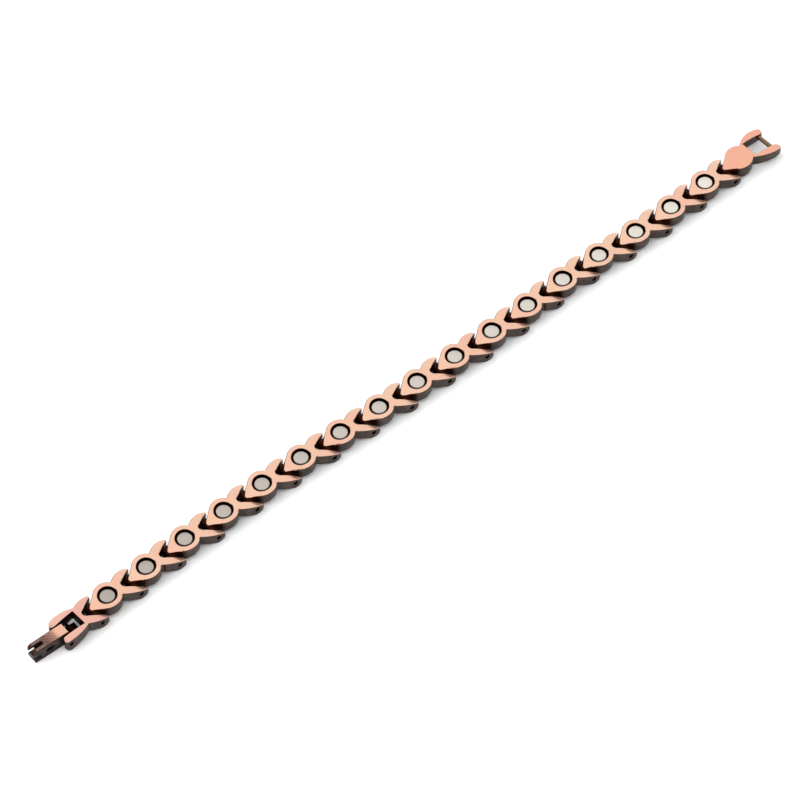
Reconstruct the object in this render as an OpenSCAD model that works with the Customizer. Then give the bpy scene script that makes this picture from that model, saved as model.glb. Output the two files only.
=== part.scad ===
/* [Links] */
// Magnet centre to the pin in the link's arms
arm_reach = 6.25; // [6:0.05:6.6]
// Magnet centre to the pin in the link's nose
nose_reach = 4.25; // [4.15:0.05:4.5]
// Disc round each magnet
disc_d = 6.24; // [6:0.02:6.4]
// Width across a link's two arms
arms_w = 7; // [6.8:0.05:7.4]
// Thickness of a link
link_t = 2.8; // [2.6:0.05:3]
// Radius that a link's top is bowed to along the row
bow_r = 13; // [12:0.5:15]
// Height of the hinge pins above the surface
pin_z = 1.6; // [1.5:0.05:1.7]
// Arm's tip beyond its pin
arm_over = 1.95; // [1.8:0.05:2]

/* [Magnets] */
// Polished rim left round the recess
rim_w = 1; // [0.9:0.05:1.15]
// Recess depth below the top of the disc
recess_depth = 1.2; // [1:0.05:1.5]
// Dark ring between the magnet and the recess
ring_gap = 0.53; // [0.2:0.01:0.7]
// Magnet's face below the top of the disc
magnet_sunk = 0.4; // [0.2:0.05:0.6]

/* [Pins] */
// Hinge pin diameter
pin_d = 0.8; // [0.7:0.05:0.9]
// Play round a hinge pin, on the radius
pin_play = 0.1; // [0.08:0.01:0.1]
// Pin end below the outer face of an arm
pin_sunk = 0.35; // [0.2:0.05:0.5]

/* [Clasp link] */
// Width across the fork
fork_w = 6.8; // [6.7:0.05:7.2]
// Window's width at its closed end
fork_gap = 4; // [3.9:0.05:4.2]
// Height of the clasp link
fork_h = 3.55; // [3.45:0.05:3.65]
// Height of the fork's pin above the surface
fork_pin_z = 2; // [1.9:0.05:2.1]

/* [End link] */
// Width across the end link's prongs
end_w = 7.8; // [7.5:0.05:8]
// Width across the end link where its prongs start
end_neck = 5.45; // [5.3:0.05:5.7]
// Width of the window that the clasp passes through
end_gap = 4.2; // [4.1:0.05:4.3]
// Disc centre to the crossbar
bar_reach = 8.4; // [8.2:0.05:8.6]
// Crossbar diameter
bar_d = 1; // [0.8:0.05:1.1]
// Height of the crossbar above the surface
bar_z = 2.05; // [1.8:0.05:2.2]
// Thickness of the end link
end_t = 2.8; // [2.6:0.05:2.9]

/* [Clasp] */
// Clasp width
clasp_w = 2.7; // [2.6:0.05:2.8]
// Clasp height
clasp_h = 3.45; // [3.4:0.05:3.7]
// Cover's length beyond the fork's pin
cover_reach = 7.6; // [7.2:0.1:8]
// Sheet thickness of the cover
cover_t = 0.4; // [0.35:0.05:0.45]
// Slot length in the cover's tip
slot_l = 2.9; // [2.4:0.1:3.1]
// Slot width in the cover's tip
slot_w = 0.84; // [0.7:0.02:0.9]
// Floor thickness of the base
floor_t = 0.7; // [0.6:0.05:0.75]
// Turn of the clasp on the fork's slack pin
clasp_turn = -4; // [-4:0.5:-1]

/* [Hidden] */

// The way each piece of the row points as it lies, from the clasp link to the end link
lay_turn = [2, 2, 2.5, 0.5, 1.5, 0, -2, -2, -1.5, 0, -1.5, 1, 2.5, 0.5, -3, -1, 1.5, 1.5, 1.5];
row_x = -94.55;
row_y = -0.77;
steel = "#6b5a4d";
copper = "#e9a882";
grey = "#d9d3cc";

pin_bore_d = pin_d + 2 * pin_play;
disc_r = disc_d / 2;
bow_x = 1;
end_round = 1.45;
link_h = link_t + 1.13;
top_z = height_at([bow_x, link_h - bow_r], bow_r, 0);
nose_tip_r = 0.72;
arms_r = 7.2;
arms_x = arm_reach + 0.75;
arm_tip_r = 0.48;
arm_tip_x = arm_reach + arm_over - arm_tip_r - 0.03;
vee_x = arm_reach - 1.46;
vee_r = 0.94;
vee_turn = 30.2;
vee_deep = 0.97 * vee_r;
knuckle_r = 1.1;
knuckle_play = 0.28;
recess_d = disc_d - 2 * rim_w;
magnet_d = recess_d - 2 * ring_gap;
magnet_seat = 0.04;

fork_x = -1.9;
fork_end_r = fork_h / 2 - 0.085;
fork_r = 9.8;
fork_tip_r = 0.85;
window_x = arm_reach - 3.45;
end_window_x = disc_r + 0.03;
end_bulge_x = bar_reach - 0.8;
end_bulge = (end_w - end_neck) / 2;
end_r = (pow(end_bulge_x - end_window_x, 2) + pow(end_bulge, 2)) / (2 * end_bulge);

wall_in = clasp_w / 2 - cover_t;
cover_end = 0.98;
collar_r = 1.2;
seam = 0.1;
base_reach = cover_reach - 0.1;
side_hole_x = -3.7;
side_hole_z = 1.75;
lip_x = 1.95;
tongue_end = 4.05;

function unit(a) = [cos(a), sin(a)];
// Height at x of a circle's upper half
function height_at(hub, r, x) = hub[1] + sqrt(r * r - pow(x - hub[0], 2));

function centre_of(i) = i == 0 ? [row_x, row_y]
  : centre_of(i - 1) + arm_reach * unit(lay_turn[i - 1]) + nose_reach * unit(lay_turn[i]);

// Puts a piece at its own place and heading in the row
module in_row(i) {
  translate(centre_of(i)) rotate([0, 0, lay_turn[i]]) children();
}

// A side view, drawn with its height as y, made into a solid right across the row
module across(w) {
  rotate([90, 0, 0]) translate([0, 0, -w / 2]) linear_extrude(w) children();
}

module cross_rod(x, z, d, w) {
  translate([x, 0, z]) rotate([90, 0, 0]) translate([0, 0, -w / 2]) cylinder(d = d, h = w, $fn = 48);
}

// Side view of a bowed piece that reaches from one round end to the other
module bowed_side(from, to, top_x, top_r, height, under_x, under_r, under_h, from_r, to_r) {
  difference() {
    intersection() {
      translate([top_x, height - top_r]) circle(r = top_r, $fn = 120);
      union() {
        translate([from[0], from[1] - from_r]) square([to[0] - from[0] - 1, 6]);
        translate([to[0] - 2, to[1] - to_r]) square([2, 6]);
        translate(from) circle(r = from_r, $fn = 48);
        translate(to) circle(r = to_r, $fn = 48);
      }
    }
    translate([under_x, under_h - under_r]) circle(r = under_r, $fn = 120);
  }
}

module nose_plan() {
  root = [-0.513 * disc_r, 0.833 * disc_r];
  tip = [-nose_reach - 0.2, nose_tip_r - 0.04];
  translate([-nose_reach, 0]) circle(r = nose_tip_r, $fn = 48);
  polygon([root, tip, [tip[0], -tip[1]], [root[0], -root[1]], [0, 0]]);
}

module vee_plan() {
  start = [vee_x - vee_deep * sin(vee_turn), vee_deep * cos(vee_turn)];
  open = start + 6 * unit(vee_turn);
  translate([vee_x, 0]) circle(r = vee_r, $fn = 48);
  polygon([start, open, [open[0], -open[1]], [start[0], -start[1]]]);
}

// Half the gap between the arms before a nose, at x of the nose's own link
function gap_at(x) = vee_deep * cos(vee_turn) + tan(vee_turn) * (x + arm_reach + nose_reach - vee_x + vee_deep * sin(vee_turn));

// The barrel under a nose, as wide as the arms before it leave room
module knuckle() {
  ends = [-nose_reach - knuckle_r, -nose_reach + knuckle_r];
  w = [for (x = ends) gap_at(x) - knuckle_play];
  intersection() {
    translate([0, 0, -1]) linear_extrude(7)
      polygon([[ends[0], w[0]], [ends[1], w[1]], [ends[1], -w[1]], [ends[0], -w[0]]]);
    cross_rod(-nose_reach, pin_z, 2 * knuckle_r, 4 * knuckle_r);
  }
}

// The two arms that hold the next link's nose
module arms_plan(from) {
  difference() {
    intersection() {
      translate([arms_x, arms_w / 2 - arms_r]) circle(r = arms_r, $fn = 120);
      translate([arms_x, arms_r - arms_w / 2]) circle(r = arms_r, $fn = 120);
      union() {
        translate([from, -arms_w]) square([arm_tip_x - from, 2 * arms_w]);
        for (s = [-1, 1])
          translate([arm_tip_x, s * (arms_w / 2 - arm_tip_r - 0.05)]) circle(r = arm_tip_r + 0.03, $fn = 40);
      }
    }
    vee_plan();
  }
}

module link_body() {
  difference() {
    union() {
      intersection() {
        translate([0, 0, -1]) linear_extrude(7) {
          circle(r = disc_r, $fn = 120);
          nose_plan();
          arms_plan(1.5);
        }
        across(3 * arms_w)
          bowed_side([-nose_reach, end_round], [arm_reach + arm_over - end_round, end_round],
            bow_x, bow_r, link_h, bow_x, 11.6, link_h - link_t, end_round, end_round);
      }
      knuckle();
    }
    cross_rod(-nose_reach, pin_z, pin_bore_d + 0.04, arms_w);
    cross_rod(arm_reach, pin_z, pin_bore_d, 3 * arms_w);
    translate([0, 0, top_z - recess_depth]) cylinder(d = recess_d, h = 5, $fn = 80);
  }
}

module link(i) {
  color(copper) in_row(i) link_body();
}

module magnet(i) {
  low = top_z - recess_depth + magnet_seat;
  color(grey) in_row(i) translate([0, 0, low])
    cylinder(d = magnet_d, h = top_z - magnet_sunk - low, $fn = 64);
}

// The pin between one piece's arms and the next piece's nose
module hinge_pin(i) {
  color(steel) in_row(i - 1) cross_rod(arm_reach, pin_z, pin_d, arms_w - 2 * pin_sunk);
}

module fork_plan() {
  body_end = window_x + 0.9;
  tip_x = fork_x - 0.15;
  difference() {
    intersection() {
      translate([-0.7, fork_w / 2 - fork_r]) circle(r = fork_r, $fn = 160);
      translate([-0.7, fork_r - fork_w / 2]) circle(r = fork_r, $fn = 160);
      union() {
        translate([tip_x, -fork_w]) square([body_end - tip_x, 2 * fork_w]);
        for (s = [-1, 1])
          translate([tip_x, s * (fork_w / 2 - 0.09 - fork_tip_r)]) circle(r = fork_tip_r + 0.05, $fn = 48);
      }
    }
    polygon([
      [window_x, fork_gap / 2],
      [window_x - 8, fork_gap / 2 - 0.5],
      [window_x - 8, 0.5 - fork_gap / 2],
      [window_x, -fork_gap / 2],
    ]);
  }
}

module clasp_link() {
  color(copper) in_row(0) difference() {
    intersection() {
      translate([0, 0, -1]) linear_extrude(7) {
        fork_plan();
        arms_plan(window_x + 0.6);
      }
      across(3 * fork_w)
        bowed_side([fork_x, fork_end_r], [arm_reach + arm_over - end_round, end_round],
          1, 20, fork_h, 2.1, 11.2, 0.7, fork_end_r, end_round);
    }
    cross_rod(arm_reach, pin_z, pin_bore_d, 3 * arms_w);
    cross_rod(fork_x, fork_pin_z, pin_bore_d, 3 * fork_w);
  }
}

module fork_pin() {
  color(steel) in_row(0) cross_rod(fork_x, fork_pin_z, pin_d, fork_w - 0.2 - 2 * pin_sunk);
}

module prongs_plan() {
  tip_x = bar_reach + 0.65;
  prong_w = (end_w - end_gap) / 2;
  difference() {
    intersection() {
      translate([end_bulge_x, end_w / 2 - end_r]) circle(r = end_r, $fn = 160);
      translate([end_bulge_x, end_r - end_w / 2]) circle(r = end_r, $fn = 160);
      union() {
        translate([2.2, -end_w]) square([tip_x - 2.2, 2 * end_w]);
        for (s = [-1, 1])
          translate([tip_x, s * (end_gap + prong_w - 0.1) / 2]) circle(r = prong_w / 2, $fn = 48);
      }
    }
    translate([end_window_x, -end_gap / 2]) square([12, end_gap]);
  }
}

module end_link() {
  color(copper) in_row(18) difference() {
    union() {
      intersection() {
        translate([0, 0, -1]) linear_extrude(7) {
          circle(r = disc_r, $fn = 120);
          nose_plan();
          prongs_plan();
        }
        across(3 * end_w)
          bowed_side([-nose_reach, end_round], [bar_reach + 0.5, bar_z - 0.05],
            2.2, 20, link_h, 4, 25, link_h - end_t, end_round, 1.2);
      }
      knuckle();
    }
    cross_rod(-nose_reach, pin_z, pin_bore_d + 0.04, arms_w);
    cross_rod(bar_reach, bar_z, bar_d + 0.1, end_w - 1.6);
  }
}

module end_bar() {
  color(steel) in_row(18) cross_rod(bar_reach, bar_z, bar_d, end_w - 1.7);
}

// Puts a part of the clasp at the fork's pin, turned as the clasp lies
module on_fork() {
  in_row(0) translate([fork_x, 0, 0]) rotate([0, 0, clasp_turn]) children();
}

module cover_plate_plan() {
  corner = 0.35;
  difference() {
    union() {
      translate([-cover_reach, -clasp_w / 2]) square([cover_reach + cover_end - corner, clasp_w]);
      translate([-1, corner - clasp_w / 2]) square([1 + cover_end, clasp_w - 2 * corner]);
      for (s = [-1, 1])
        translate([cover_end - corner, s * (clasp_w / 2 - corner)]) circle(r = corner, $fn = 40);
    }
    translate([-cover_reach - 1, -slot_w / 2]) square([slot_l + 1, slot_w]);
  }
}

// Side view of the cover, with round shoulders at its tip and a mouth for the crossbar
module cover_side() {
  shoulder = 1;
  low = floor_t + seam;
  difference() {
    union() {
      translate([-cover_reach, low]) square([cover_reach, clasp_h - shoulder - low]);
      translate([shoulder - cover_reach, low]) square([cover_reach + cover_end - shoulder, clasp_h - low]);
      translate([shoulder - cover_reach, clasp_h - shoulder]) circle(r = shoulder, $fn = 48);
    }
    translate([-cover_reach - 1, low - 1]) square([2.5, 1.05 + 1]);
    translate([0, low - 1]) square([2, fork_pin_z - low + 1]);
  }
  translate([0, fork_pin_z]) circle(r = fork_pin_z - low, $fn = 48);
}

// The slot in both sides of the clasp
module side_hole(w) {
  for (s = [-0.5, 0.5]) cross_rod(side_hole_x + s, side_hole_z, w, 2 * clasp_w);
  translate([side_hole_x - 0.5, -clasp_w, side_hole_z - w / 2]) cube([1, 2 * clasp_w, w]);
}

module clasp_cover() {
  color(copper) on_fork() difference() {
    intersection() {
      translate([0, 0, -1]) linear_extrude(7) {
        cover_plate_plan();
        translate([0, -clasp_w / 2]) square([collar_r + 0.1, cover_t]);
        translate([0, wall_in]) square([collar_r + 0.1, cover_t]);
      }
      across(2 * clasp_w) cover_side();
    }
    translate([-cover_reach - 2, -wall_in, -1]) cube([cover_reach + 5, 2 * wall_in, clasp_h - cover_t + 0.85]);
    cross_rod(0, fork_pin_z, pin_bore_d, 2 * clasp_w);
    side_hole(1.1);
  }
}

module clasp_base() {
  inner = wall_in - 0.12;
  rise = clasp_h - cover_t - 0.35;
  tongue_w = clasp_w + 0.3;
  color(steel) on_fork() difference() {
    union() {
      translate([-base_reach, -clasp_w / 2, 0]) cube([base_reach + 1, clasp_w, floor_t]);
      translate([-base_reach, -inner, 0]) cube([0.35, 2 * inner, floor_t + 0.9]);
      translate([0.5, -tongue_w / 2, 0]) cube([tongue_end - 0.5, tongue_w, floor_t]);
      translate([lip_x, -tongue_w / 2, 0]) cube([0.35, tongue_w, clasp_h - 0.8]);
      translate([lip_x + 0.9, -clasp_w / 2, 0]) cube([tongue_end - lip_x - 0.9, clasp_w, floor_t + 0.45]);
      for (s = [-1, 1]) translate([0, s * (inner - 0.175), 0]) across(0.35) {
        translate([-5.6, floor_t / 2]) square([5.6, rise - floor_t / 2]);
        translate([0, fork_pin_z]) circle(r = 0.8, $fn = 48);
        translate([-1, floor_t / 2]) square([1.8, fork_pin_z - floor_t / 2]);
      }
    }
    cross_rod(0, fork_pin_z, pin_bore_d, 2 * clasp_w);
    side_hole(1.3);
    translate([tongue_end - 0.6, -clasp_w, floor_t + 0.1]) cube([0.25, 1.6 * clasp_w, 2]);
  }
}

for (i = [1:17]) {
  id = str(i < 10 ? "0" : "", i);
  link(i);
  magnet(i);
}
for (i = [1:18]) {
  id = str(i < 10 ? "0" : "", i);
  hinge_pin(i);
}
clasp_link();
end_link();
end_bar();
fork_pin();
clasp_base();
clasp_cover();
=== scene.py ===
import math

import bpy
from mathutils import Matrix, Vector


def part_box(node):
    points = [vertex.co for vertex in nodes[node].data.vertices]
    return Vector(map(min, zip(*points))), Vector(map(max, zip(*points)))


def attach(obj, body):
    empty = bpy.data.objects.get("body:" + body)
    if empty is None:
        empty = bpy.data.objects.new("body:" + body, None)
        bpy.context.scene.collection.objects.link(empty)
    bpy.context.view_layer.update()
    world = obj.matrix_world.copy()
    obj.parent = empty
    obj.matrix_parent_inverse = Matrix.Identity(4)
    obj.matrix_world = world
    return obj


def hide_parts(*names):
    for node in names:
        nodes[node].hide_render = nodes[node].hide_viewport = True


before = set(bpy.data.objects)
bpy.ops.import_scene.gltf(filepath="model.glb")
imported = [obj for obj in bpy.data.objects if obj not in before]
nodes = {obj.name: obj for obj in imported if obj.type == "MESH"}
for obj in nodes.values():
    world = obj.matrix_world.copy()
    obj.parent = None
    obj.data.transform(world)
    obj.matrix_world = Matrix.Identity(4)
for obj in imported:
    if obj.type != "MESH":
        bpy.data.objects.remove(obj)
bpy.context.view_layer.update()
mm = 0.001
linkNumbers = ["%02d" % i for i in range(1, 18)]
pinNumbers = ["%02d" % i for i in range(1, 19)]
print("frame loaded,", len(nodes), "nodes")


# materials

def linear(hexColour):
    # an sRGB hex colour in the linear values that shaders take
    channels = [int(hexColour[i:i + 2], 16) / 255 for i in (1, 3, 5)]
    return [c / 12.92 if c <= 0.04045 else ((c + 0.055) / 1.055) ** 2.4 for c in channels] + [1.0]


def addNode(tree, kind, links=None, **settings):
    # one shader node, with its settings and what feeds its inputs
    node = tree.nodes.new(kind)
    for name, value in settings.items():
        if hasattr(node, name):
            setattr(node, name, value)
        else:
            node.inputs[name.replace("_", " ")].default_value = value
    for name, source in (links or {}).items():
        tree.links.new(source, node.inputs[name])
    return node


def newMaterial(name, metal, roughness=0.5):
    # a material, its nodes, its shader and the place on the piece that its patterns read
    material = bpy.data.materials.new(name)
    material.use_nodes = True
    tree = material.node_tree
    shader = tree.nodes["Principled BSDF"]
    shader.inputs["Metallic"].default_value = metal
    shader.inputs["Roughness"].default_value = roughness
    place = addNode(tree, "ShaderNodeTexCoord")
    return material, tree, shader, place.outputs["Object"]


def wear(tree, place, size, low, high, detail=3.0):
    # soft blotches of a size in mm, as values from low to high: most noise lies from 0.35 to 0.65
    noise = addNode(tree, "ShaderNodeTexNoise", {"Vector": place}, Scale=1 / (size * mm), Detail=detail)
    spread = addNode(tree, "ShaderNodeMapRange", {"Value": noise.outputs["Fac"]},
                     From_Min=0.35, From_Max=0.65, To_Min=low, To_Max=high)
    return spread.outputs["Result"]


def alongRow(tree, place, start, end):
    # 0 at one place along the bracelet and 1 at another, both in mm
    parts = addNode(tree, "ShaderNodeSeparateXYZ", {"Vector": place})
    ramp = addNode(tree, "ShaderNodeMapRange", {"Value": parts.outputs["X"]},
                   From_Min=start * mm, From_Max=end * mm, To_Min=0.0, To_Max=1.0)
    return ramp.outputs["Result"]


def blend(tree, factor, first, second):
    # a mix of two colours, each a hex value or another node's colour: sockets 6 and 7 take colours
    mixer = addNode(tree, "ShaderNodeMix", {"Factor": factor}, data_type="RGBA")
    for socket, colour in ((6, first), (7, second)):
        if isinstance(colour, str):
            mixer.inputs[socket].default_value = linear(colour)
        else:
            tree.links.new(colour, mixer.inputs[socket])
    return mixer.outputs[2]


copperLook = {"metal": 0.85, "blotch": 9.0, "haze": 3.0, "hazeRoughness": (0.26, 0.33)}


def polishedCopper(name, peach, pink):
    # copper plating on steel, polished: a soft even sheen, a little pinker in places
    material, tree, shader, place = newMaterial(name, copperLook["metal"])
    blotches = wear(tree, place, copperLook["blotch"], 0.0, 1.0)
    haze = wear(tree, place, copperLook["haze"], *copperLook["hazeRoughness"])
    tree.links.new(blend(tree, blotches, peach, pink), shader.inputs["Base Color"])
    tree.links.new(haze, shader.inputs["Roughness"])
    return material


antiqueLook = {"metal": 0.6, "roughness": 0.46, "blotch": 1.8, "detail": 5.0}


def antiqueSteel(name, dark, worn):
    # steel blackened after plating: brown-grey and satin, thinner in small patches
    material, tree, shader, place = newMaterial(name, antiqueLook["metal"], antiqueLook["roughness"])
    blotches = wear(tree, place, antiqueLook["blotch"], 0.0, 1.0, antiqueLook["detail"])
    tree.links.new(blend(tree, blotches, dark, worn), shader.inputs["Base Color"])
    return material


magnetLook = {"metal": 0.8, "roughness": 0.5,
              "dull": "#b4aba3", "bright": "#e8e2d8", "dullAt": -84.0, "brightAt": 84.0}


def satinMagnet():
    # barrel-plated magnets: pale and dull, those near the crossbar a little brighter
    look = magnetLook
    material, tree, shader, place = newMaterial("satinMagnet", look["metal"], look["roughness"])
    along = alongRow(tree, place, look["dullAt"], look["brightAt"])
    colour = blend(tree, along, look["dull"], look["bright"])
    tree.links.new(colour, shader.inputs["Base Color"])
    return material


coverLook = {"metal": 0.9, "roughness": 0.34,
             "tones": [(-103.9, "#7c665e"), (-101.8, "#836b62"), (-100.3, "#8f6c62"), (-99.2, "#b58877"),
                       (-98.1, "#d6a28b"), (-97.3, "#f0ba9f")],     # from the tip to the fork
             "hatch": 0.3818, "waver": 0.15,     # mm from line to line, coarse enough to show
             "line": (0.45, 0.75),               # where on a wave its ink starts and is full
             "ink": 0.8, "dark": "#3f2a22", "cut": 0.04, "cutStrength": 0.35,
             "tipFade": (-101.4, -100.8), "forkFade": (-97.7, -98.4)}
waveStep = 0.4443     # diagonal waves of scale 1 repeat after so many metres on a level face


def darkeningCover():
    # copper plating on steel, bright at the fork, darker towards the tip and finely hatched
    look = coverLook
    material, tree, shader, place = newMaterial("darkeningCover", look["metal"], look["roughness"])
    start, end = look["tones"][0][0], look["tones"][-1][0]
    ramp = addNode(tree, "ShaderNodeValToRGB", {"Fac": alongRow(tree, place, start, end)})
    stops = ramp.color_ramp.elements
    while len(stops) < len(look["tones"]):
        stops.new(0.5)
    for stop, (x, tone) in zip(stops, look["tones"]):
        stop.position = (x - start) / (end - start)
        stop.color = linear(tone)
    hatch = addNode(tree, "ShaderNodeTexWave", {"Vector": place}, bands_direction="DIAGONAL",
                    Scale=waveStep / (look["hatch"] * mm), Distortion=look["waver"], Detail=0.0)
    inkStart, inkFull = look["line"]
    lines = addNode(tree, "ShaderNodeMapRange", {"Value": hatch.outputs["Fac"]},
                    From_Min=inkStart, From_Max=inkFull, To_Min=0.0, To_Max=look["ink"])
    fades = {0: alongRow(tree, place, *look["forkFade"]), 1: alongRow(tree, place, *look["tipFade"])}
    panel = addNode(tree, "ShaderNodeMath", fades, operation="MULTIPLY")
    inked = addNode(tree, "ShaderNodeMath", {0: lines.outputs["Result"], 1: panel.outputs["Value"]},
                    operation="MULTIPLY")
    colour = blend(tree, inked.outputs["Value"], ramp.outputs["Color"], look["dark"])
    tree.links.new(colour, shader.inputs["Base Color"])
    relief = addNode(tree, "ShaderNodeBump", {"Height": hatch.outputs["Fac"]},
                     Strength=look["cutStrength"], Distance=look["cut"] * mm)
    tree.links.new(relief.outputs["Normal"], shader.inputs["Normal"])
    return material


def plainMaterial(name, hexColour, roughness, metal=1.0):
    # one even colour and sheen: what shows as a thin line or a small patch, and the studio's paper
    material, tree, shader, place = newMaterial(name, metal, roughness)
    shader.inputs["Base Color"].default_value = linear(hexColour)
    return material


# peach copper on the links, and a pinker batch on the two ends of the row
copperPlate = polishedCopper("polishedCopper", "#efc5aa", "#efbda4")
pinkCopper = polishedCopper("pinkCopper", "#efb195", "#edab92")
forkCopper = polishedCopper("forkCopper", "#edbba6", "#e7b0a2")
# a painted dark reflection along the rounded top edges, and the blackened walls, deeper on the clasp
paintedDarkEdge = plainMaterial("paintedDarkEdge", "#4e3226", 0.4)
darkSteel = antiqueSteel("antiqueSteel", "#312723", "#483a33")
claspSteel = antiqueSteel("claspSteel", "#231b18", "#362a25")
# painted black shade in the recesses, bores and the clasp's window, and painted red-brown shade in the
# gaps between links
paintedBlackShade = plainMaterial("paintedBlackShade", "#2a110b", 0.55)
paintedMaroonShade = plainMaterial("paintedMaroonShade", "#38190d", 0.5)
magnetNickel = satinMagnet()
coverPlating = darkeningCover()
# drawn wire, near black, and the crossbar's brass rubbed bright
pinSteel = plainMaterial("pinSteel", "#110c0a", 0.5)
barBrass = plainMaterial("barBrass", "#8a6c58", 0.34)
print("materials made")


# pieces

def selectOnly(piece):
    bpy.ops.object.select_all(action="DESELECT")
    piece.select_set(True)
    bpy.context.view_layer.objects.active = piece


angles = {"flat": 0.5, "sharp": 40, "smooth": 32}     # degrees between two faces


def roundedCopy(nodeName, pieceName, look):
    # the node's own solid as one clean mesh, with its sharp edges rounded
    piece = bpy.data.objects.new(pieceName, nodes[nodeName].data.copy())
    bpy.context.scene.collection.objects.link(piece)
    selectOnly(piece)
    bpy.ops.object.mode_set(mode="EDIT")
    bpy.ops.mesh.select_all(action="SELECT")
    bpy.ops.mesh.remove_doubles(threshold=look["merge"] * mm)
    bpy.ops.mesh.dissolve_limited(angle_limit=math.radians(angles["flat"]))
    bpy.ops.object.mode_set(mode="OBJECT")
    edge = piece.modifiers.new("edges", "BEVEL")
    edge.width = look["edge"] * mm
    edge.segments = look["steps"]
    edge.limit_method = "ANGLE"
    edge.angle_limit = math.radians(angles["sharp"])
    edge.use_clamp_overlap = look["clamp"]
    edge.miter_outer = "MITER_ARC"
    bpy.ops.object.modifier_apply(modifier=edge.name)
    bpy.ops.object.shade_smooth_by_angle(angle=math.radians(angles["smooth"]))
    return piece


def paintWhole(piece, material):
    piece.data.materials.clear()
    piece.data.materials.append(material)


def paintByFace(piece, materials, choose):
    # gives each face one of the materials, by its place and the way it points
    piece.data.materials.clear()
    for material in materials:
        piece.data.materials.append(material)
    for face in piece.data.polygons:
        face.material_index = choose(face.center / mm, face.normal)


def putInPlace(piece, nodeName, body):
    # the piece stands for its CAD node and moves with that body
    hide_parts(nodeName)
    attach(piece, body)


def nodeCentre(name):
    low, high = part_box(name)
    return (low + high) / 2 / mm


beyond = 20.0     # mm, further along than any piece reaches
# in mm: x runs along the row from the centre of a link's disc, z up from the table
linkLook = {"merge": 0.002, "edge": 0.13, "steps": 4, "clamp": False,
            # the bow of its top, and how far down the copper comes
            "bowRadius": 13.0, "bowMiddle": 1.0, "bowTop": 3.93,
            "skin": 0.25, "skinSlope": 0.03, "wallTilt": 0.3,
            # where the rounded edge keeps the copper instead of the painted dark reflection, with a
            # painted highlight on the near side and round the recess rim, and how far the painted black
            # shade of the recess reaches
            "topTilt": 0.985, "nearEdgeHighlight": -0.15, "plainTo": -beyond, "recess": 2.12, "rim": 0.3,
            # x and z of each bore
            "bores": [(6.25, 1.6)], "boreRadius": 0.58, "boreSide": 0.75,
            # the walls between its arms
            "gapFrom": 3.0, "gapSide": -0.2, "gapEnd": -0.5, "gapWidth": 2.2,
            # the nose, and where its copper ends
            "noseFrom": -2.4, "noseSkin": 0.09, "tipCentre": -3.65, "tipRadius": 0.72, "tipTurn": 48}
forkLook = {**linkLook, "merge": 0.03, "edge": 0.09, "topTilt": 0.75, "recess": 0.0, "plainTo": -2.5,
            "bowRadius": 20.0, "bowTop": 3.55, "bores": [(6.25, 1.6), (-1.9, 2.0)],
            "noseFrom": -beyond, "gapFrom": -beyond, "centre": Vector((-94.55, -0.77, 0.0))}
endLook = {**linkLook, "edge": 0.1, "topTilt": 0.93, "recess": 0.0, "bowRadius": 20.0, "bowMiddle": 2.2,
           "gapFrom": beyond, "fromKnuckle": 5.37}


def tipLines(look):
    # the directions of three lines that round off the copper at the tip of a nose
    turns = (0.0, math.radians(look["tipTurn"]), -math.radians(look["tipTurn"]))
    return [Vector((-math.cos(turn), math.sin(turn), 0.0)) for turn in turns]


def pastTip(look, x, y):
    place = Vector((x - look["tipCentre"], y, 0.0))
    return any(place.dot(normal) > look["tipRadius"] for normal in tipLines(look))


def scoreNose(piece, centre, look):
    # edges across the nose where its copper ends and the painted red-brown shade of its tip starts
    for normal in tipLines(look):
        start = Vector((centre.x + look["tipCentre"], centre.y, 0.0)) + normal * look["tipRadius"]
        selectOnly(piece)
        bpy.ops.object.mode_set(mode="EDIT")
        bpy.ops.mesh.select_all(action="SELECT")
        bpy.ops.mesh.bisect(plane_co=start * mm, plane_no=normal)
        bpy.ops.object.mode_set(mode="OBJECT")


def rowFaces(look, centre):
    # 0 on the polished top, 1 painted dark reflection on its rounded edge, 2 on walls, 3 painted black
    # shade in the recess and bores, 4 painted red-brown shade in the gaps

    def inBore(x, z, normal):
        radii = [math.hypot(x - boreX, z - boreZ) for boreX, boreZ in look["bores"]]
        return min(radii) < look["boreRadius"] and abs(normal.y) < look["boreSide"]

    def inGap(x, y, normal):
        facesIn = normal.y * math.copysign(1, y) < look["gapSide"]
        closesGap = normal.x < look["gapEnd"] and abs(y) < look["gapWidth"] and x > 0
        return x > look["gapFrom"] and (facesIn or closesGap)

    def choose(place, normal):
        x, y, z = place.x - centre.x, place.y - centre.y, place.z
        along = x - look["bowMiddle"]
        onNose = x < look["noseFrom"]
        skin = look["noseSkin"] if onNose else look["skin"] + abs(along) * look["skinSlope"]
        lowest = look["bowTop"] - along * along / (2 * look["bowRadius"]) - skin
        # painted black shade in the recess and bores, painted red-brown shade on the nose's tip, on its
        # walls and in the gaps
        if math.hypot(x, y) < look["recess"]:
            return 3
        # past these edges the nose's tip gets the painted red-brown shade
        if onNose and pastTip(look, x, y):
            return 4
        if x < look["plainTo"] and z > lowest:
            return 0
        if z < lowest or normal.z < look["wallTilt"]:
            if inBore(x, z, normal):
                return 3
            return 4 if onNose or inGap(x, y, normal) else 2
        bowed = Vector((along / look["bowRadius"], 0.0, 1.0)).normalized()
        onRimHighlight = math.hypot(x, y) < look["recess"] + look["rim"]
        # a painted highlight keeps the copper on near-side edges and round the recess rim; other rounded
        # edges get the painted dark reflection
        bright = onRimHighlight or normal.y < look["nearEdgeHighlight"] or normal.dot(bowed) > look["topTilt"]
        return 0 if bright else 1
    return choose


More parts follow.
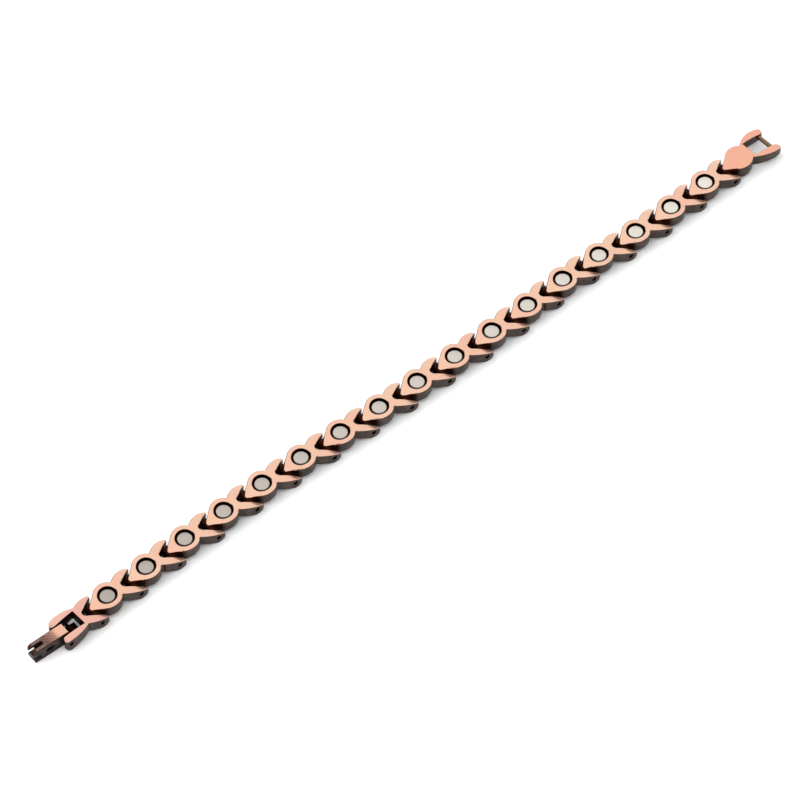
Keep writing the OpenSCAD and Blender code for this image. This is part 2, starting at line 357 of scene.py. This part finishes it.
rowMetals = [paintedDarkEdge, darkSteel, paintedBlackShade, paintedMaroonShade]
for number in linkNumbers:
    piece = roundedCopy("link_" + number, "linkPiece_" + number, linkLook)
    centre = nodeCentre("magnet_" + number)
    scoreNose(piece, centre, linkLook)
    paintByFace(piece, [copperPlate] + rowMetals, rowFaces(linkLook, centre))
    putInPlace(piece, "link_" + number, "chain")
claspLink = roundedCopy("clasp_link", "claspLinkPiece", forkLook)
paintByFace(claspLink, [forkCopper] + rowMetals, rowFaces(forkLook, forkLook["centre"]))
putInPlace(claspLink, "clasp_link", "chain")
endLink = roundedCopy("end_link", "endLinkPiece", endLook)
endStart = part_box("end_link")[0].x / mm
endCentre = Vector((endStart + endLook["fromKnuckle"], nodeCentre("end_link").y, 0.0))
scoreNose(endLink, endCentre, endLook)
paintByFace(endLink, [pinkCopper] + rowMetals, rowFaces(endLook, endCentre))
putInPlace(endLink, "end_link", "chain")
print("links done")

magnetEdge = {"merge": 0.002, "edge": 0.1, "steps": 3, "clamp": True}
for number in linkNumbers:
    piece = roundedCopy("magnet_" + number, "magnetPiece_" + number, magnetEdge)
    paintWhole(piece, magnetNickel)
    putInPlace(piece, "magnet_" + number, "chain")
print("magnets done")

for name in ["pin_" + number for number in pinNumbers] + ["fork_pin"]:
    paintWhole(nodes[name], pinSteel)
paintWhole(nodes["end_bar"], barBrass)

claspLook = {"merge": 0.002, "edge": 0.08, "steps": 3, "clamp": True, "tongueFrom": -97.9}
coverShape = {"merge": 0.002, "edge": 0.14, "steps": 3, "clamp": False,
              "wallTilt": 0.3, "lowest": 2.6, "edgeTilt": 0.97, "edgeTo": -98.2}


def baseFaces(place, normal):
    # 0 on the clasp's floor and lip, 1 painted black shade on the tongue in the fork's window
    return 1 if place.x > claspLook["tongueFrom"] else 0


def coverFaces(place, normal):
    # 0 on the cover's top, 1 on its sides and 2 on the painted dark reflection along the edge between
    # them, towards the tip
    if normal.z < coverShape["wallTilt"] or place.z < coverShape["lowest"]:
        return 1
    return 2 if normal.z < coverShape["edgeTilt"] and place.x < coverShape["edgeTo"] else 0


base = roundedCopy("clasp_base", "claspBasePiece", claspLook)
paintByFace(base, [claspSteel, paintedBlackShade], baseFaces)
putInPlace(base, "clasp_base", "clasp_base")
cover = roundedCopy("clasp_cover", "claspCoverPiece", coverShape)
paintByFace(cover, [coverPlating, claspSteel, paintedDarkEdge], coverFaces)
putInPlace(cover, "clasp_cover", "clasp_cover")
print("clasp done")


# studio, in metres, but the floor's drop below the pieces in mm

studio = {"floorSize": 6.0, "floorDrop": 0.02, "floor": "#fdfdfd", "floorRoughness": 0.9,
          "surround": 1.0, "keySize": 1.8, "keyPower": 17.0, "keyPlace": (-0.62, 0.6, 0.85)}
bpy.ops.object.select_all(action="DESELECT")
bpy.ops.mesh.primitive_plane_add(size=studio["floorSize"], location=(0, 0, -studio["floorDrop"] * mm))
floor = bpy.context.object
floor.name = "floor"
bpy.ops.object.transform_apply(location=True, rotation=True, scale=True)
paintWhole(floor, plainMaterial("studioPaper", studio["floor"], studio["floorRoughness"], 0.0))

world = bpy.data.worlds.new("studioWorld")
bpy.context.scene.world = world
world.use_nodes = True
world.node_tree.nodes["Background"].inputs["Color"].default_value = (1, 1, 1, 1)
world.node_tree.nodes["Background"].inputs["Strength"].default_value = studio["surround"]

bpy.ops.object.light_add(type="AREA", location=studio["keyPlace"])
key = bpy.context.object
key.name = "keyLight"
key.visible_glossy = False        # lights the paper and shades it, but isn't mirrored in the plating
key.data.size = studio["keySize"]
key.data.energy = studio["keyPower"]
key.rotation_euler = Vector(studio["keyPlace"]).to_track_quat("Z", "Y").to_euler()

# camera, in mm, at the photograph's angle
view = {"target": Vector((-6.286, -1.941, 3.93)), "back": Vector((-0.3975, -0.4575, 0.7955)),
        "distance": 914.5, "lens": 195.1, "sensor": 36, "clipStart": 50, "clipEnd": 20000}
bpy.ops.object.camera_add(location=(view["target"] + view["back"].normalized() * view["distance"]) * mm)
camera = bpy.context.object
camera.rotation_euler = view["back"].to_track_quat("Z", "Y").to_euler()
camera.data.lens = view["lens"]
camera.data.sensor_width = view["sensor"]
camera.data.clip_start = view["clipStart"] * mm
camera.data.clip_end = view["clipEnd"] * mm
bpy.context.scene.camera = camera
bpy.context.scene.view_settings.view_transform = "Standard"
print("studio ready")
